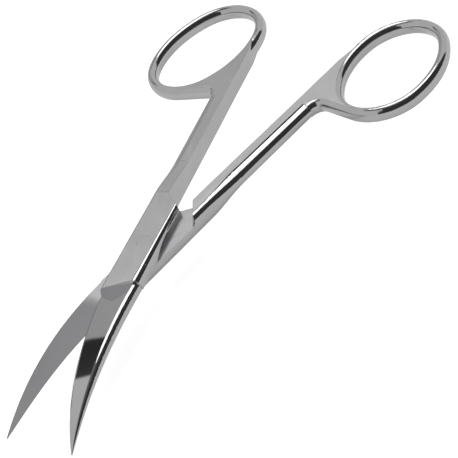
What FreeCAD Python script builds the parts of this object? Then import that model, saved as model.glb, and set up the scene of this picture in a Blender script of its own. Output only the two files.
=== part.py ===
# Curved dissecting scissors with sharp points, in millimetres.
#
# Two forged halves cross at a lap joint and turn on one slotted screw. Each
# half is one piece: finger ring, shank, joint and blade. The frame has its
# origin on the screw's axis, at the level where the halves lie on each other:
# +Z is the screw's axis and points out of the upper half, +Y points to the
# rings, and the blades reach along -Y and curve down to -Z.
#
# A half is drawn as it lies in closed scissors, with the closing line on the
# Y axis, its own outer face up (+z) and its blade's back to the +x side.

import FreeCAD, Part
import os
from math import atan, ceil, cos, degrees, hypot, radians, sin, tan

Vec = FreeCAD.Vector
Z_AXIS = Vec(0, 0, 1)

# Opening
half_opening = 11.8         # each half from the closing line, as it lies open
ride_gap = 0.10             # running clearance between the two halves

# Blades
blade_length = 54.1         # screw's axis to the points
blade_drop = 10.2           # how far the points curve down
flat_radius = 12.0          # the riding faces are flat this far from the axis
curl = 2.5                  # power of the curve from there to the points
back_x = 4.25               # blade's back from the closing line, at the joint
back_sweep = 4.9            # how far the back runs over to reach the point
back_power = 2.1
edge_x = 7.6                # cutting edge from the closing line, at the joint
edge_taper = 4.1            # straight taper of the cutting edge
edge_belly = 2.5            # rounding of the cutting edge near the point
edge_power = 6
root_thickness = 2.35       # at the back, where the blade leaves the joint
tip_thickness = 0.35
back_roll = 1.45            # rounding of the back, inwards, where the blade starts
back_roll_down = 0.96       # how far down it reaches, as a share of the height
bevel_width = 0.6           # honed bevel along the cutting edge
bevel_height = 0.5
land_height = 0.08          # what is left of the cutting edge itself
blade_start = 0.12          # it begins inside the joint, as a share of its length
blade_stations = 8

# Joint
joint_thickness = 3.2       # one half, from its riding face to its outer face
joint_outer_x = 5.25        # outer wall from the closing line, ring end
joint_outer_end_x = 5.7     # the same at the blade end
joint_flat_x = 3.7          # where the flat outer face rolls over, ring end
joint_flat_end_x = 4.6      # the same at the blade end
joint_ring_end = 16.4       # end of the joint's full thickness towards the ring
joint_blade_end = 13.9      # end of the joint on the closing line
joint_end_slope = 16.0      # lean of that end across the blade
joint_end_run = 2.7         # the outer face rounds down over this length to that end
joint_end_dip = 1.0
joint_end_lean = 7.0        # so that it dips more above the cutting edge
scoop_radius = 2.6          # hollow that is ground in beside the back wall
scoop_depth = 0.75
scoop_lean = 14.0           # it runs out towards the cutting edge
wall_roll = 0.8             # back wall's rounded top edge, inwards, at the shoulder
wall_roll_end = 1.75        # the same at the blade end
wall_roll_down = 1.9        # how far down the wall that rounding reaches
wall_roll_down_end = 3.0
shoulder_y = 15.8           # where the shoulder crosses the shank's inner wall
shoulder_slope = 43.0
shoulder_gap = 0.6          # shoulder to the other half's step, when closed
step_foot_round = 0.9       # hollow at the foot of the step

# Shank
inner_gap = 0.28            # shank's flat inner wall from the closing line
shank_depth = 4.2
shank_outer_x = 5.4         # outer wall, where the joint has thinned down
shank_outer_end_x = 5.3     # outer wall at the ring
shank_flat_x = 2.8          # where the flat faces roll over
shank_thin_y = 29.0         # end of the thinning from the joint
shank_end_y = 61.0
shank_end_depth = 3.95      # depth there, just inside the ring's root
wall_fullness = 0.60        # roundness of the outer wall

# Finger ring
ring_x = 14.7               # ring's middle from the closing line
ring_y = 72.5               # ring's middle from the screw's axis
ring_half_width = 12.95     # to the middle of the bow
ring_half_length = 16.25
ring_end_radius = 11.9      # of the oval's tighter ends, to the middle of the bow
ring_tilt = 21.8            # lean of the ring's long way over the shank
bow_half_width = 1.43       # the bow's oval section, seen from above
bow_half_depth = 2.0
crotch_radius = 2.2         # hollow between the shank and the bow's lower side
root_turn = 24.0            # the bow leaves the web over this much of its turn
bow_turn = 28.0             # the bow is drawn in stretches of at most this turn

# Screw
screw_radius = 1.75
bore_gap = 0.05             # the lower half turns on the screw
thread_gap = 0.02           # the upper half holds it by its thread
head_radius = 3.1
head_sink = 1.2             # depth of the head's seat in the lower half
head_gap = 0.12             # around the head
seat_gap = 0.04             # under the head
head_dome = 0.35            # how far the slotted end stands out
end_sink = 0.03             # its other end is ground a hair below the outer face
slot_width = 0.75
slot_depth = 0.8

REACH = blade_length + ring_y + ring_half_length    # longer than any half
LOWEST, WIDEST = 270 + ring_tilt, ring_tilt         # the bow's lowest and inmost turns
OUTER_SIDE, HOLE_SIDE = 0, 180                      # halves of the bow's section


def ride_drop(radius):
    """How far the riding faces lie below the joint's plane at this radius."""
    bend = max(0.0, radius - flat_radius) / (blade_length - flat_radius)
    return blade_drop * bend ** curl


def prism(corners, low, high):
    """Upright block over a many-cornered outline."""
    points = [Vec(x, y, low) for x, y in corners]
    return Part.Face(Part.makePolygon(points + points[:1])).extrude(Vec(0, 0, high - low))


def under_riding_face(bend):
    """All the room on the other half's side of the riding face.

    The face is one surface turned about the screw's axis, so the blades keep
    together along it at every opening.
    """
    steps = 10
    reach = 1.1 * blade_length
    curve = [Vec(flat_radius + (reach - flat_radius) * i / steps, 0, 0) for i in range(steps + 1)]
    curve = [Vec(p.x, 0, ride_gap / 2 - bend * ride_drop(p.x)) for p in curve]
    bottom = -4 * blade_drop
    rim = Part.BSplineCurve()
    rim.interpolate(curve, InitialTangent=Vec(1, 0, 0), FinalTangent=curve[-1] - curve[-2])
    start, flat, end = Vec(0, 0, ride_gap / 2), curve[0], curve[-1]
    low_end, low_start = Vec(end.x, 0, bottom), Vec(0, 0, bottom)
    edges = [Part.makeLine(start, flat), rim.toShape(), Part.makeLine(end, low_end),
             Part.makeLine(low_end, low_start), Part.makeLine(low_start, start)]
    return Part.Face(Part.Wire(edges)).revolve(Vec(0, 0, 0), Z_AXIS, 360)


# The half

def rolled_edge(crease, wall):
    """Rounding in the XZ plane, from a flat face's crease to an upright wall."""
    curve = Part.BezierCurve()
    across, down = wall.x - crease.x, wall.z - crease.z
    curve.setPoles([crease, crease + Vec(wall_fullness * across, 0, 0),
                    wall - Vec(0, 0, wall_fullness * down), wall])
    return curve.toShape()


def body_section(y, top, under, crease_x, outer_x, wall_x, roll=0.0, roll_down=0.0):
    """Section across a half: inner wall, flat faces and rolled outer wall.

    The inner wall is flat, with its top edge rounded over where roll is given.
    """
    waist = Vec(-outer_x, 0, 0)
    top_crease, under_crease = Vec(-crease_x, 0, top), Vec(-crease_x, 0, -under)
    foot, upright, rim = Vec(wall_x, 0, -under), Vec(wall_x, 0, top - roll_down), Vec(wall_x - roll, 0, top)
    edges = [rolled_edge(top_crease, waist), rolled_edge(under_crease, waist),
             Part.makeLine(under_crease, foot), Part.makeLine(foot, upright), Part.makeLine(rim, top_crease)]
    if roll:
        edges.append(rolled_edge(rim, upright))
    wire = Part.Wire(Part.sortEdges(edges)[0])
    wire.translate(Vec(0, y, 0))
    return wire


def loft(sections, ruled):
    """Solid through the sections, with true planes for its flat sides."""
    faces = []
    for side in Part.makeLoft(sections, True, ruled).Faces:
        plane = side.findPlane()
        if plane:
            flat = Part.Face(plane, side.OuterWire)
            if flat.normalAt(0, 0).dot(side.normalAt(0, 0)) < 0:
                flat.reverse()
            side = flat
        faces.append(side)
    return Part.Solid(Part.Shell(faces))


def shank_blend(y):
    """0 at the joint's full thickness, 1 where the shank has thinned down."""
    t = (y - joint_ring_end) / (shank_thin_y - joint_ring_end)
    t = min(1.0, max(0.0, t))
    return t * t * (3 - 2 * t)


def shank_section(y):
    """Section between joint and ring, with the thinning blended in."""
    t = shank_blend(y)
    run = max(0.0, (y - shank_thin_y) / (shank_end_y - shank_thin_y))
    depth = (shank_depth + run * (shank_end_depth - shank_depth)) / 2
    outer = shank_outer_x + run * (shank_outer_end_x - shank_outer_x)
    return body_section(y, joint_thickness + t * (depth - joint_thickness), depth,
                        joint_flat_x + t * (shank_flat_x - joint_flat_x),
                        joint_outer_x + t * (outer - joint_outer_x), -inner_gap)


def make_shank():
    """From the joint to the ring's root."""
    steps = 5
    span = shank_thin_y - joint_ring_end
    thinning = [shank_section(joint_ring_end + span * i / steps) for i in range(steps + 1)]
    start = shank_section(joint_ring_end)
    start.translate(Vec(0, -shank_depth / 4, 0))
    lead_in = loft([start, shank_section(joint_ring_end)], True)
    short_of_ring = ring_y - ring_half_length - 2 * bow_half_width
    straight = loft([shank_section(y) for y in (shank_thin_y, short_of_ring, shank_end_y)], True)
    return lead_in.fuse([loft(thinning, False), straight])


def shoulder_line(x):
    """How far up the half its slanting shoulder lies at this x."""
    return shoulder_y - (x + inner_gap) * tan(radians(shoulder_slope))


def step_line(x):
    """How far up the step lies that the other half's shoulder closes on."""
    return shoulder_line(-x) + shoulder_gap / cos(radians(shoulder_slope))


def joint_end_room():
    """The room beyond the joint's blade end, where its outer face rounds down."""
    far, top = 3 * back_x, joint_thickness
    radius = (joint_end_run ** 2 + joint_end_dip ** 2) / (2 * joint_end_dip)
    lean = radians(joint_end_lean)
    axis = Vec(cos(lean), 0, sin(lean))
    hub = Vec(0, joint_end_run, top - radius)
    above = Part.makeBox(2 * far, joint_end_run, 2 * top, Vec(-far, 0, -top))
    above = above.cut(Part.makeCylinder(radius, 4 * far, hub - axis * 2 * far, axis))
    scoop_axis = Vec(cos(radians(scoop_lean)), 0, -sin(radians(scoop_lean)))
    hub = Vec(back_x, joint_end_run / 2, top - scoop_depth + scoop_radius)
    scoop = Part.makeCylinder(scoop_radius, 4 * far, hub - scoop_axis * 2 * far, scoop_axis)
    room = Part.makeBox(2 * far, far, 3 * top, Vec(-far, -far, -top)).fuse([above, scoop])
    room.rotate(Vec(0, 0, 0), Z_AXIS, joint_end_slope)
    room.translate(Vec(0, -joint_blade_end, 0))
    return room


def make_joint():
    """The flat-faced joint, with its slanting shoulder and rounded blade end."""
    under = shank_depth / 2
    end_y = -1.23 * joint_blade_end
    sections = []
    for y in (joint_ring_end, 0.4 * joint_ring_end, -0.6 * joint_blade_end, end_y):
        t = (joint_ring_end - y) / (joint_ring_end - end_y)
        sections.append(body_section(y, joint_thickness, under,
                                     joint_flat_x + t * (joint_flat_end_x - joint_flat_x),
                                     joint_outer_x + t * (joint_outer_end_x - joint_outer_x), back_x,
                                     wall_roll + t * (wall_roll_end - wall_roll),
                                     wall_roll_down + t * (wall_roll_down_end - wall_roll_down)))
    joint = loft(sections, True)

    far = 3 * back_x
    joint = joint.cut(prism([(-inner_gap, shoulder_line(-inner_gap)), (far, shoulder_line(far)),
                             (far, 2 * joint_ring_end), (-inner_gap, 2 * joint_ring_end)],
                            -joint_thickness, 2 * joint_thickness))
    return joint.cut(joint_end_room())


def back_line(t):
    """Blade's back from the closing line, t from 0 at the screw to 1 at the point."""
    return back_x - back_sweep * t ** back_power


def edge_line(t):
    """Cutting edge from the closing line."""
    return -edge_x + edge_taper * t + edge_belly * t ** edge_power


def make_blade(bend):
    """Tapered blade with a leaning back and a honed edge, curved to the point."""
    deep = shank_depth / 2
    sections = []
    for i in range(blade_stations + 1):
        t = blade_start + (1 - blade_start) * i / blade_stations
        y = -blade_length * t
        back, edge = back_line(t), edge_line(t)
        ride = -bend * ride_drop(hypot((back + edge) / 2, y))
        height = root_thickness - (root_thickness - tip_thickness) * t ** 3
        bevel = min(1.0, (back - edge) / (4 * bevel_width))
        roll = back_roll * bevel * height / root_thickness
        honed = land_height + (min(bevel_height, height / 2) - land_height) * bevel
        corners = [Vec(edge, y, ride - deep), Vec(edge, y, ride + land_height),
                   Vec(edge + bevel_width * bevel, y, ride + honed), Vec(back - roll, y, ride + height)]
        foot, root = Vec(back, y, ride + (1 - back_roll_down) * height), Vec(back, y, ride - deep)
        edges = [Part.makeLine(a, b) for a, b in zip(corners, corners[1:])]
        edges += [rolled_edge(corners[-1], foot), Part.makeLine(foot, root), Part.makeLine(root, corners[0])]
        sections.append(Part.Wire(edges))
    return loft(sections, False)


def ring_arcs():
    """Four-arc oval along the middle of the bow, long way along Y.

    Gives each arc's centre, radius, start and end angles, from the left side on.
    """
    end_off = ring_half_length - ring_end_radius
    rise = ring_half_width - ring_end_radius
    side_off = (end_off ** 2 - rise ** 2) / (2 * rise)
    meet = degrees(atan(end_off / side_off))        # half of a side's sweep
    side = ring_half_width + side_off
    return [(Vec(side_off, 0, 0), side, 180 - meet, 180 + meet),
            (Vec(0, -end_off, 0), ring_end_radius, 180 + meet, 360 - meet),
            (Vec(-side_off, 0, 0), side, -meet, meet),
            (Vec(0, end_off, 0), ring_end_radius, meet, 180 - meet)]


def on_arc(arc, angle):
    """A point of one of an oval's arcs."""
    centre, radius = arc[:2]
    return Vec(centre.x + radius * cos(radians(angle)), centre.y + radius * sin(radians(angle)), 0)


def arc_edge(arc, start, end):
    return Part.Arc(on_arc(arc, start), on_arc(arc, (start + end) / 2), on_arc(arc, end)).toShape()


def part_of(arc, start, end):
    """What an arc covers between two angles, as a list of one arc or none."""
    start, end = max(start, arc[2]), min(end, arc[3])
    return [(*arc[:2], start, end)] if end > start else []


def bow_section(side):
    """Half of the bow's oval section about the origin, standing in the XZ plane."""
    start, end = radians(side), radians(side + 180)
    oval = Part.Ellipse(Vec(0, 0, bow_half_depth), Vec(bow_half_width, 0, 0), Vec(0, 0, 0))
    rim = Part.Edge(oval, start, end)
    return Part.Face(Part.Wire([rim, Part.makeLine(rim.valueAt(end), rim.valueAt(start))]))


def place_ring(shape):
    """Leans the ring over the shank and moves it to its place."""
    shape.rotate(Vec(0, 0, 0), Z_AXIS, -ring_tilt)
    shape.translate(Vec(-ring_x, ring_y, 0))
    return shape


def bow_stretch(arc, start, end, sides):
    """The bow along a stretch of one of the oval's arcs, turn by turn."""
    centre, radius = arc[:2]
    turns = ceil((end - start) / bow_turn)
    step = (end - start) / turns
    pieces = []
    for side in sides:
        for i in range(turns):
            section = bow_section(side)
            section.translate(Vec(radius, 0, 0))
            section.rotate(Vec(0, 0, 0), Z_AXIS, start + i * step)
            section.translate(centre)
            pieces.append(section.revolve(centre, Z_AXIS, step))
    return pieces


def make_ring():
    """Oval bow of rounded section, as wide as a finger needs, and its flat root.

    Along the root only the hole's side of the bow is drawn: the web lies behind
    it, and a bar of the bow's outer side runs along the web's lower edge.
    """
    left_side, lower_end, inner_side, upper_end = ring_arcs()
    free = [left_side] + part_of(upper_end, WIDEST, 180) + part_of(lower_end, 180, LOWEST)
    free += part_of(inner_side, WIDEST, 180)
    rooted = part_of(lower_end, LOWEST, 360) + part_of(inner_side, -90, WIDEST) + part_of(upper_end, 0, WIDEST)
    bar = part_of(inner_side, WIDEST - root_turn, WIDEST) + part_of(upper_end, WIDEST - root_turn, WIDEST)
    bow = []
    for arcs, sides in ((free, (OUTER_SIDE, HOLE_SIDE)), (rooted, [HOLE_SIDE]), (bar, [OUTER_SIDE])):
        for arc in arcs:
            bow += bow_stretch(arc, *arc[2:], sides)

    rim = [place_ring(arc_edge(arc, *arc[2:])) for arc in rooted]
    lowest, widest = rim[0].valueAt(rim[0].FirstParameter), rim[-1].valueAt(rim[-1].LastParameter)
    side_top = Vec(-inner_gap, widest.y - ring_half_width / 2, 0)
    corners = [widest, side_top, Vec(-inner_gap, lowest.y, 0), lowest]
    edges = rim + [Part.makeLine(a, b) for a, b in zip(corners, corners[1:])]
    web = Part.Face(Part.Wire(edges)).extrude(Vec(0, 0, 2 * bow_half_depth))
    web.translate(Vec(0, 0, -bow_half_depth))

    radius = crotch_radius + bow_half_width
    crotch = (Vec(-shank_outer_end_x - crotch_radius, lowest.y - radius, 0), radius)
    foot, end = on_arc(crotch, 0), on_arc(crotch, 90)
    corners = [end, Vec(-shank_flat_x, lowest.y, 0), Vec(-shank_flat_x, foot.y, 0), foot]
    edges = [arc_edge(crotch, 0, 90)] + [Part.makeLine(a, b) for a, b in zip(corners, corners[1:])]
    fill = Part.Face(Part.Wire(edges)).extrude(Vec(0, 0, 2 * bow_half_depth))
    fill.translate(Vec(0, 0, -bow_half_depth))
    section = bow_section(HOLE_SIDE)
    section.rotate(Vec(0, 0, 0), Z_AXIS, 90)
    section.translate(end)
    root = [web, fill, section.extrude(lowest - end)] + bow_stretch(crotch, 0, 90, [HOLE_SIDE])
    return place_ring(bow[0].fuse(bow[1:])).fuse(root)


def lap_recess(bend):
    """What is milled away so that the other half can lie in the joint."""
    far = 4 * joint_outer_x
    room = under_riding_face(bend)
    step = [(-far, step_line(-far)), (far, step_line(far))]
    behind = [(far, -REACH), (-far, -REACH)]
    back_off = step_foot_round / cos(radians(shoulder_slope))
    near = [(x, y - back_off) for x, y in step]
    flat = room.common(prism(near + behind, -REACH, REACH))
    depth = step_foot_round - ride_gap / 2
    deep = room.common(prism(step + behind, -REACH, -depth))
    start, end = Vec(near[0][0], near[0][1], -depth), Vec(near[1][0], near[1][1], -depth)
    hollow = Part.makeCylinder(step_foot_round, (end - start).Length, start, end - start)
    return flat.fuse([deep, hollow])


def make_half(bend):
    """One half; bend is 1 if its blade curves away from its outer face, else -1."""
    half = make_joint().fuse([make_shank(), make_blade(bend), make_ring()])
    return half.cut(lap_recess(bend)).removeSplitter()


def set_open(half, angle):
    half.rotate(Vec(0, 0, 0), Z_AXIS, angle)
    return half


# The screw

def screw_profile(grow_shaft, grow_head, seat, dome):
    """Half outline of the screw or of the room for it, head down."""
    head_z = -joint_thickness + head_sink
    tip = joint_thickness - end_sink
    line = [Vec(0, 0, tip), Vec(screw_radius + grow_shaft, 0, tip),
            Vec(screw_radius + grow_shaft, 0, head_z + seat), Vec(head_radius + grow_head, 0, head_z + seat),
            Vec(head_radius + grow_head, 0, -joint_thickness)]
    edges = [Part.makeLine(a, b) for a, b in zip(line, line[1:])]
    foot, bottom = line[-1], Vec(0, 0, -joint_thickness - dome)
    if dome:
        middle = Vec(foot.x / 2, 0, -joint_thickness - 0.75 * dome)
        edges.append(Part.Arc(foot, middle, bottom).toShape())
    else:
        edges.append(Part.makeLine(foot, bottom))
    edges.append(Part.makeLine(bottom, line[0]))
    return Part.Face(Part.Wire(edges)).revolve(Vec(0, 0, 0), Z_AXIS, 360)


def make_screw():
    """Slotted screw: its head sits in the lower half, its end is ground flush."""
    screw = screw_profile(0, 0, 0, head_dome)
    slot = Part.makeBox(4 * head_radius, slot_width, slot_depth,
                        Vec(-2 * head_radius, -slot_width / 2, -joint_thickness - head_dome))
    slot.rotate(Vec(0, 0, 0), Z_AXIS, 35)
    return screw.cut(slot)


upper_half = make_half(1)
bore = Part.makeCylinder(screw_radius + thread_gap, 3 * joint_thickness, Vec(0, 0, -joint_thickness))
upper_half = upper_half.cut(bore)
upper_half = set_open(upper_half, half_opening)

lower_half = make_half(-1)
lower_half.rotate(Vec(0, 0, 0), Vec(0, 1, 0), 180)
lower_half = lower_half.cut(screw_profile(bore_gap, head_gap, seat_gap, 0))
lower_half = set_open(lower_half, -half_opening)

os.makedirs("parts", exist_ok=True)
for name, shape in (("upper_half", upper_half), ("lower_half", lower_half), ("pivot_screw", make_screw())):
    shape.exportStep("parts/" + name + ".step")
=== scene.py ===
import bpy
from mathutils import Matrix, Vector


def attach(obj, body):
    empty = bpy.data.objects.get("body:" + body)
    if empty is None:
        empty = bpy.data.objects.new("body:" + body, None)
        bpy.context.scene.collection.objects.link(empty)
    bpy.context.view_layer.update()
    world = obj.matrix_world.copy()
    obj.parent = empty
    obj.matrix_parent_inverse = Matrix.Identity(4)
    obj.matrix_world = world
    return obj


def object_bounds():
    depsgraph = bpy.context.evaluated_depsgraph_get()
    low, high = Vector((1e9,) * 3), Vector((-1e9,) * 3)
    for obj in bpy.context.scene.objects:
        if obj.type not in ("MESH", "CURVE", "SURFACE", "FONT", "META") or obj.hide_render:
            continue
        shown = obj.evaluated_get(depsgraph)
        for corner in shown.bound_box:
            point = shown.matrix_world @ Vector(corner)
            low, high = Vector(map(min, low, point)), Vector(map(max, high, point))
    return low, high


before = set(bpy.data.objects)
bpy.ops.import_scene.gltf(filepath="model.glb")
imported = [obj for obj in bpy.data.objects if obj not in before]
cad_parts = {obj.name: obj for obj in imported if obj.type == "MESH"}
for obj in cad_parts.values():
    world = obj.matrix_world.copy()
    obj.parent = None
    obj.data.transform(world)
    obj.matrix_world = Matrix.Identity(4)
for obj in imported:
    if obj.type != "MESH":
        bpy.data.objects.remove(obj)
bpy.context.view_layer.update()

import bpy
from math import cos, pi, radians, sin
from mathutils import Quaternion, Vector

scene = bpy.context.scene

# The view
# The scissors are seen from above their right side and a little from the
# blades' end, with a long lens, as they lie open on a white table.
camera = bpy.data.objects.new("camera", bpy.data.cameras.new("camera"))
camera.location = (0.33901, -0.24419, 0.30351)
camera.rotation_mode = "QUATERNION"
camera.rotation_quaternion = Quaternion((0.873587, 0.346431, 0.287337, 0.185117))
camera.data.lens = 173.28
camera.data.sensor_width = 36.0
camera.data.clip_start = 0.01
camera.data.clip_end = 20.0
scene.collection.objects.link(camera)
scene.camera = camera


# Upper half
# The half that lies on top: ring, shank, joint and blade in one forging of
# martensitic stainless steel. Its flat faces are belt-ground to a satin along
# their length, and the rolled walls, the bow and the blade are buffed bright.
def linear(hex_colour):
    """sRGB hex to the linear colour that a shader takes."""
    parts = [int(hex_colour[i:i + 2], 16) / 255 for i in (1, 3, 5)]
    return tuple(c / 12.92 if c <= 0.04045 else ((c + 0.055) / 1.055) ** 2.4 for c in parts) + (1.0,)


def add_node(tree, kind, settings=None, **links):
    """Adds a node; a link value is a number, a colour or another node's output.

    A link is named after its socket, with _ for a space, or i and its number.
    """
    node = tree.nodes.new(kind)
    for name, value in (settings or {}).items():
        setattr(node, name, value)
    for name, value in links.items():
        number = name[1:] if name[0] == "i" and name[1:].isdigit() else None
        socket = node.inputs[int(number)] if number else node.inputs[name.replace("_", " ")]
        if isinstance(value, bpy.types.NodeSocket):
            tree.links.new(value, socket)
        else:
            socket.default_value = value
    return node


grain_stretch = 0.8         # how much more the satin blurs across its grain than along it


def forged_steel(name, lean, riding_side):
    """Stainless steel of a half that leans by this angle.

    The satin flats blur what they mirror, most of all across their grain, so
    they look an even soft grey. The buffed walls and the blade mirror the room
    in crisp black and white. The blade's riding face, on the side that looks to
    +Z or -Z, is ground and left unbuffed, and looks duller and darker.
    """
    grain = 0.00022             # spacing of the grinding lines, drawn coarser than the real 0.05 mm
    grain_length = 0.006
    smear = 0.009               # size of the wiped patches in the buffing
    satin, bright, blade_finish, riding_finish = 0.33, 0.08, 0.055, 0.22
    brightest, dullest = 0.85, 1.2          # how far the grinding lines vary those
    blade_from, blade_to = -0.0165, -0.0195     # where the blade's finish takes over, along Y
    flat_from, flat_to = 0.9988, 0.9998     # how level a face is that counts as a flat
    riding_from, riding_to = 0.6, 0.8       # and as the riding face
    eased_edge = 0.00012
    score_depth, faint_score, satin_score = 0.00002, 0.02, 0.16

    material = bpy.data.materials.new(name)
    material.use_nodes = True
    tree = material.node_tree
    tree.nodes.clear()
    place = add_node(tree, "ShaderNodeTexCoord")
    facing = add_node(tree, "ShaderNodeSeparateXYZ", i0=place.outputs["Normal"])
    upright = add_node(tree, "ShaderNodeMath", {"operation": "ABSOLUTE"}, i0=facing.outputs["Z"])
    flat = add_node(tree, "ShaderNodeMapRange", {"interpolation_type": "SMOOTHSTEP"},
                    Value=upright.outputs[0], From_Min=flat_from, From_Max=flat_to)
    spot = add_node(tree, "ShaderNodeSeparateXYZ", i0=place.outputs["Object"])
    ahead = add_node(tree, "ShaderNodeMapRange", {"interpolation_type": "SMOOTHSTEP"},
                     Value=spot.outputs["Y"], From_Min=blade_to, From_Max=blade_from)
    ground = add_node(tree, "ShaderNodeMath", {"operation": "MULTIPLY"},
                      i0=flat.outputs[0], i1=ahead.outputs[0])
    riding_up = add_node(tree, "ShaderNodeMath", {"operation": "MULTIPLY"},
                         i0=facing.outputs["Z"], i1=riding_side)
    riding = add_node(tree, "ShaderNodeMapRange",
                      Value=riding_up.outputs[0], From_Min=riding_from, From_Max=riding_to)

    along = add_node(tree, "ShaderNodeVectorRotate", {"rotation_type": "Z_AXIS"},
                     Vector=place.outputs["Object"], Angle=-lean)
    strokes = add_node(tree, "ShaderNodeVectorMath", {"operation": "MULTIPLY"},
                       i0=along.outputs[0], i1=(1 / grain, 1 / grain_length, 1 / grain))
    lines = add_node(tree, "ShaderNodeTexNoise", Vector=strokes.outputs[0], Scale=1.0, Detail=3.0)
    patches = add_node(tree, "ShaderNodeTexNoise",
                       Vector=place.outputs["Object"], Scale=1 / smear, Detail=2.0)

    blade = add_node(tree, "ShaderNodeMix", {"data_type": "FLOAT"},
                     i0=riding.outputs[0], i2=blade_finish, i3=riding_finish)
    base = add_node(tree, "ShaderNodeMix", {"data_type": "FLOAT"},
                    i0=ahead.outputs[0], i2=blade.outputs[0], i3=bright)
    finish = add_node(tree, "ShaderNodeMix", {"data_type": "FLOAT"},
                      i0=ground.outputs[0], i2=base.outputs[0], i3=satin)
    worn = add_node(tree, "ShaderNodeMapRange", Value=lines.outputs[0], From_Min=0.3, From_Max=0.7,
                    To_Min=brightest, To_Max=dullest)
    rough = add_node(tree, "ShaderNodeMath", {"operation": "MULTIPLY"},
                     i0=finish.outputs[0], i1=worn.outputs[0])
    wiped = add_node(tree, "ShaderNodeMix", {"data_type": "RGBA"}, i0=patches.outputs[0],
                     i6=linear("#c2c2c4"), i7=linear("#d0cfd0"))
    blade_tint = add_node(tree, "ShaderNodeMix", {"data_type": "RGBA"},
                          i0=riding.outputs[0], i6=wiped.outputs[2], i7=linear("#a9a9ab"))
    tint = add_node(tree, "ShaderNodeMix", {"data_type": "RGBA"},
                    i0=ahead.outputs[0], i6=blade_tint.outputs[2], i7=wiped.outputs[2])

    eased = add_node(tree, "ShaderNodeBevel", {"samples": 4}, Radius=eased_edge)
    depth = add_node(tree, "ShaderNodeMath", {"operation": "MULTIPLY_ADD"},
                     i0=ground.outputs[0], i1=satin_score, i2=faint_score)
    scored = add_node(tree, "ShaderNodeBump", Strength=depth.outputs[0], Distance=score_depth,
                      Height=lines.outputs[0], Normal=eased.outputs[0])
    across = add_node(tree, "ShaderNodeVectorTransform",
                      {"vector_type": "VECTOR", "convert_from": "OBJECT", "convert_to": "WORLD"},
                      Vector=(cos(lean), sin(lean), 0.0))
    stretch = add_node(tree, "ShaderNodeMath", {"operation": "MULTIPLY"},
                       i0=ground.outputs[0], i1=grain_stretch)
    shader = add_node(tree, "ShaderNodeBsdfPrincipled", Base_Color=tint.outputs[2], Metallic=1.0,
                      Roughness=rough.outputs[0], Anisotropic=stretch.outputs[0],
                      Tangent=across.outputs[0], Normal=scored.outputs[0])
    add_node(tree, "ShaderNodeOutputMaterial", Surface=shader.outputs["BSDF"])
    return material


half_lean = radians(11.8)
upper_steel = forged_steel("stainless_steel_satin_and_bright_upper", half_lean, -1)
upper_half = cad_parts["upper_half"]
upper_half.data.materials.clear()
upper_half.data.materials.append(upper_steel)

# The upper joint's end
# The end of the upper forging's joint, ground to a steep wall above the blade.
# This closed skin of the same steel lies on the forging and fills the hollow at
# its back, so that the ground back runs straight through. Its sizes are in mm.
mm = 0.001
back_x = 4.25               # back wall from the closing line, in closed scissors
outer_x = 5.6               # outer wall
crease_x = 4.5              # where the outer face rolls over to it
hair = 0.004                # how far the skin stands off the forging's walls
top = 3.1955                # with the hair, half a micron under the forging's outer face
wall_top = 2.75             # the end wall is upright up to here
lower_edges = 0.5, 0.3      # where the skin ends inside the forging, outer and back
fullness = 0.6              # roundness of the rolled walls
outer_share = 0.78          # how much of the outer roll the skin covers
roll_from, roll_length = 16.4, 33.5     # the back's roll widens along this length
roll_width, roll_growth = 0.8, 0.95
roll_drop, drop_growth = 1.9, 1.1
wall_y, wall_slant = -13.92, 0.287      # the end wall, on the closing line and across the half
start_y, start_slant = -8.6, 0.3        # where the skin starts on the outer face
back_from, back_to = -7.6, -12.9        # along the back, from the skin's start to the wall
edge_round, edge_growth = 0.18, 0.08    # rounding of the wall's top edge, wider at the back
least_round, most_round = 0.05, 0.35
crisp_fold = radians(28)    # folds sharper than this stay crisp


def roll_point(t, crease, foot):
    """Point of a rolled wall from a flat face's crease to its foot, as (x, z)."""
    poles = (crease, (crease[0] + fullness * (foot[0] - crease[0]), crease[1]),
             (foot[0], foot[1] + fullness * (crease[1] - foot[1])), foot)
    weights = ((1 - t) ** 3, 3 * t * (1 - t) ** 2, 3 * t * t * (1 - t), t ** 3)
    return [sum(w * pole[axis] for w, pole in zip(weights, poles)) for axis in (0, 1)]


def wall_at(x):
    """Where the end wall stands, leaning across the half."""
    return wall_y + wall_slant * x


def height_at(x, y):
    """The skin's height there, with the wall's rounded top edge."""
    rounding = min(most_round, max(least_round, edge_round + edge_growth * x))
    share = min(1.0, max(0.0, (y - wall_at(x)) / rounding))
    return wall_top + (top + hair - wall_top) * (1 - (1 - share) ** 3)


stations, outer_points, face_points, back_points = 40, 8, 30, 18
corners = []
for i in range(stations + 1):
    along = 1 - (1 - i / stations) ** 3     # closer together towards the wall
    back_y = (1 - along) * back_from + along * back_to
    share = (roll_from - back_y) / roll_length
    roll = roll_width + roll_growth * share
    drop = roll_drop + drop_growth * share
    section = [(-outer_x, lower_edges[0])]
    for j in range(outer_points, 0, -1):
        turn = outer_share * j / outer_points
        section.append(roll_point(turn, (-crease_x, top + hair), (-outer_x, 0.0)))
    for j in range(face_points):
        section.append((-crease_x + (back_x - roll + crease_x) * j / face_points, top + hair))
    crease = (back_x + hair - roll, top + hair)
    for j in range(back_points + 1):
        section.append(roll_point(j / back_points, crease, (back_x + hair, top - drop)))
    section.append((back_x + hair, lower_edges[1]))
    for x, z in section:
        y = (1 - along) * (start_y + start_slant * x) + along * wall_at(x)
        corner = Vector((x, y, min(z, height_at(x, y)))) * mm
        corners.append(Quaternion((0, 0, 1), half_lean) @ corner)
count = len(corners) // (stations + 1)
faces = [tuple(range(count)), tuple(reversed(range(len(corners) - count, len(corners))))]
for start in range(0, len(corners) - count, count):
    for i in range(count):
        j = (i + 1) % count
        faces.append((start + i, start + count + i, start + count + j, start + j))
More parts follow.
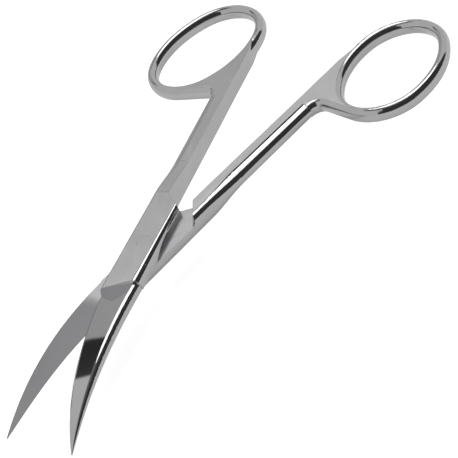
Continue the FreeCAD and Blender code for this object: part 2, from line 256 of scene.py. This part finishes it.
end_mesh = bpy.data.meshes.new("upper_joint_end")
end_mesh.from_pydata([tuple(point) for point in corners], [], faces)
end_mesh.shade_smooth()
end_mesh.set_sharp_from_angle(angle=crisp_fold)
end_mesh.materials.append(upper_steel)
upper_joint_end = bpy.data.objects.new("upper_joint_end", end_mesh)
scene.collection.objects.link(upper_joint_end)
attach(upper_joint_end, "upper")

# Lower half
# The other half, of the same steel, forged, ground and buffed in the same way,
# and turned over. It looks the same, with its riding face on top.
lower_steel = forged_steel("stainless_steel_satin_and_bright_lower", -half_lean, 1)
lower_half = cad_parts["lower_half"]
lower_half.data.materials.clear()
lower_half.data.materials.append(lower_steel)

# Pivot screw
# A turned screw of stainless steel. Its end is ground off together with the
# outer face of the upper half, so it has that face's grain, and only a hair
# line shows round it there. The head keeps the rings that the lathe left.
ground_end, turned_head = 0.32, 0.18    # roughness
turned_from, turned_to = 0.0, -0.001
ring_spacing = 0.000754     # drawn much coarser than the real 0.08 mm, so that rings show
ring_depth, ring_strength = 0.00001, 0.3
waves = 20                  # radians per unit in the wave texture itself
screw_steel = bpy.data.materials.new("stainless_steel_turned")
screw_steel.use_nodes = True
tree = screw_steel.node_tree
tree.nodes.clear()
place = add_node(tree, "ShaderNodeTexCoord")
spot = add_node(tree, "ShaderNodeSeparateXYZ", i0=place.outputs["Object"])
turned = add_node(tree, "ShaderNodeMapRange",
                  Value=spot.outputs["Z"], From_Min=turned_from, From_Max=turned_to)
rings = add_node(tree, "ShaderNodeTexWave", {"wave_type": "RINGS", "rings_direction": "Z"},
                 Vector=place.outputs["Object"], Scale=2 * pi / (waves * ring_spacing), Distortion=0.4)
depth = add_node(tree, "ShaderNodeMath", {"operation": "MULTIPLY"}, i0=turned.outputs[0], i1=ring_strength)
ringed = add_node(tree, "ShaderNodeBump",
                  Strength=depth.outputs[0], Distance=ring_depth, Height=rings.outputs["Fac"])
rough = add_node(tree, "ShaderNodeMapRange",
                 Value=turned.outputs[0], To_Min=ground_end, To_Max=turned_head)
across = add_node(tree, "ShaderNodeVectorTransform",
                  {"vector_type": "VECTOR", "convert_from": "OBJECT", "convert_to": "WORLD"},
                  Vector=(cos(half_lean), sin(half_lean), 0.0))
shader = add_node(tree, "ShaderNodeBsdfPrincipled", Base_Color=linear("#c9c9ca"), Metallic=1.0,
                  Anisotropic=grain_stretch, Roughness=rough.outputs[0], Tangent=across.outputs[0],
                  Normal=ringed.outputs[0])
add_node(tree, "ShaderNodeOutputMaterial", Surface=shader.outputs["BSDF"])
pivot_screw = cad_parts["pivot_screw"]
pivot_screw.data.materials.clear()
pivot_screw.data.materials.append(screw_steel)

# The table
# A plain table of matt white laminate, which both points touch at every
# opening. It lies level, so that neither point goes through it as the halves
# turn on the upright screw. It is an even white with a faint soft shadow.
table_reach = 1.5
camera_glow, mirror_glow = 0.8, 0.18    # lifts its white in the picture and in the steel
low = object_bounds()[0]
table_corners = [(-table_reach, -table_reach, 0), (table_reach, -table_reach, 0),
                 (table_reach, table_reach, 0), (-table_reach, table_reach, 0)]
table_mesh = bpy.data.meshes.new("table")
table_mesh.from_pydata(table_corners, [], [(0, 1, 2, 3)])
table = bpy.data.objects.new("table", table_mesh)
table.location = (0, 0, low.z)
scene.collection.objects.link(table)
white = bpy.data.materials.new("white_laminate_matt")
white.use_nodes = True
tree = white.node_tree
tree.nodes.clear()
matt = add_node(tree, "ShaderNodeBsdfDiffuse", Color=linear("#f2f2f2"))
ray = add_node(tree, "ShaderNodeLightPath")
mirrored = add_node(tree, "ShaderNodeMath", {"operation": "MULTIPLY"},
                    i0=ray.outputs["Is Glossy Ray"], i1=mirror_glow)
lift = add_node(tree, "ShaderNodeMath", {"operation": "MULTIPLY_ADD"},
                i0=ray.outputs["Is Camera Ray"], i1=camera_glow, i2=mirrored.outputs[0])
glow = add_node(tree, "ShaderNodeEmission", Color=(1, 1, 1, 1), Strength=lift.outputs[0])
both = add_node(tree, "ShaderNodeAddShader", i0=matt.outputs[0], i1=glow.outputs[0])
add_node(tree, "ShaderNodeOutputMaterial", Surface=both.outputs[0])
table_mesh.materials.append(white)

# The light
# One big softbox overhead, towards the rings, in a pale room. The room is
# dark on the camera's side and in two patches, a gap and a seam, and bright metal
# shows those as its black stripes. Turns are from +X, in degrees.
room_light, dark_light, ceiling_light = 0.62, 0.045, 0.16
dark_from, dark_to = -82, 70            # the dark side of the room
dark_softness = 0.04
ceiling_from, ceiling_to = 56, 64
gap = (173, 0.53), (6.9, 6.1)           # turn and slope of its middle, outer and inner radius
seam = (132, 0.98), (9, 7)
dull_wall = (158, 0.25), (26, 14)       # a duller stretch, which the upper blade shows
dull_share = 0.72
world = bpy.data.worlds.new("studio")
scene.world = world
world.use_nodes = True
tree = world.node_tree
tree.nodes.clear()
place = add_node(tree, "ShaderNodeTexCoord")
direction = place.outputs["Generated"]
rise = add_node(tree, "ShaderNodeSeparateXYZ", i0=direction)


def towards(turn, slope=0.0):
    """Direction at this turn from +X, rising by this slope."""
    return Vector((cos(radians(turn)), sin(radians(turn)), slope)).normalized()


def room_patch(middle, reach, outside=0.0, inside=1.0):
    """Mask of a round patch of the room, with one value outside it and one inside."""
    nearness = add_node(tree, "ShaderNodeVectorMath", {"operation": "DOT_PRODUCT"},
                        i0=direction, i1=towards(*middle))
    return add_node(tree, "ShaderNodeMapRange", {"interpolation_type": "SMOOTHSTEP"},
                    Value=nearness.outputs["Value"], From_Min=cos(radians(reach[0])),
                    From_Max=cos(radians(reach[1])), To_Min=outside, To_Max=inside)


dark_edges = []
for turn in (dark_from + 90, dark_to - 90):
    side = add_node(tree, "ShaderNodeVectorMath", {"operation": "DOT_PRODUCT"},
                    i0=direction, i1=towards(turn))
    dark_edges.append(add_node(tree, "ShaderNodeMapRange", {"interpolation_type": "SMOOTHSTEP"},
                               Value=side.outputs["Value"],
                               From_Min=-dark_softness, From_Max=dark_softness))
dark_side = add_node(tree, "ShaderNodeMath", {"operation": "MULTIPLY"},
                     i0=dark_edges[0].outputs[0], i1=dark_edges[1].outputs[0])
ceiling = add_node(tree, "ShaderNodeMapRange", {"interpolation_type": "SMOOTHSTEP"},
                   Value=rise.outputs["Z"], From_Min=sin(radians(ceiling_from)),
                   From_Max=sin(radians(ceiling_to)))
level = room_light
for mask, light in ((dark_side, dark_light), (ceiling, ceiling_light),
                    (room_patch(*gap), dark_light), (room_patch(*seam), dark_light)):
    level = add_node(tree, "ShaderNodeMix", {"data_type": "FLOAT"},
                     i0=mask.outputs[0], i2=level, i3=light).outputs[0]
wall = room_patch(*dull_wall, 1.0, dull_share)
level = add_node(tree, "ShaderNodeMath", {"operation": "MULTIPLY"}, i0=level, i1=wall.outputs[0])
ray = add_node(tree, "ShaderNodeLightPath")
shown = add_node(tree, "ShaderNodeBackground", Color=(1, 1, 1, 1), Strength=1.0)
lit = add_node(tree, "ShaderNodeBackground", Color=(1, 1, 1, 1), Strength=level.outputs[0])
mix = add_node(tree, "ShaderNodeMixShader", i0=ray.outputs["Is Camera Ray"],
               i1=lit.outputs[0], i2=shown.outputs[0])
add_node(tree, "ShaderNodeOutputWorld", Surface=mix.outputs[0])

softbox_light = 2.0         # radiance, where white is 1
softbox_width = 0.80
softbox_turn, softbox_rise, softbox_away = 103, 68, 1.0
softbox = bpy.data.lights.new("softbox", "AREA")
softbox.shape = "DISK"
softbox.size = softbox_width
softbox.energy = softbox_light * pi * pi * softbox_width ** 2 / 4
softbox_object = bpy.data.objects.new("softbox", softbox)
level_reach = softbox_away * cos(radians(softbox_rise))
height = softbox_away * sin(radians(softbox_rise))
softbox_object.location = towards(softbox_turn) * level_reach + Vector((0, 0, height))
softbox_object.rotation_euler = (-softbox_object.location).to_track_quat("-Z", "Y").to_euler()
scene.collection.objects.link(softbox_object)

scene.view_settings.view_transform = "Standard"
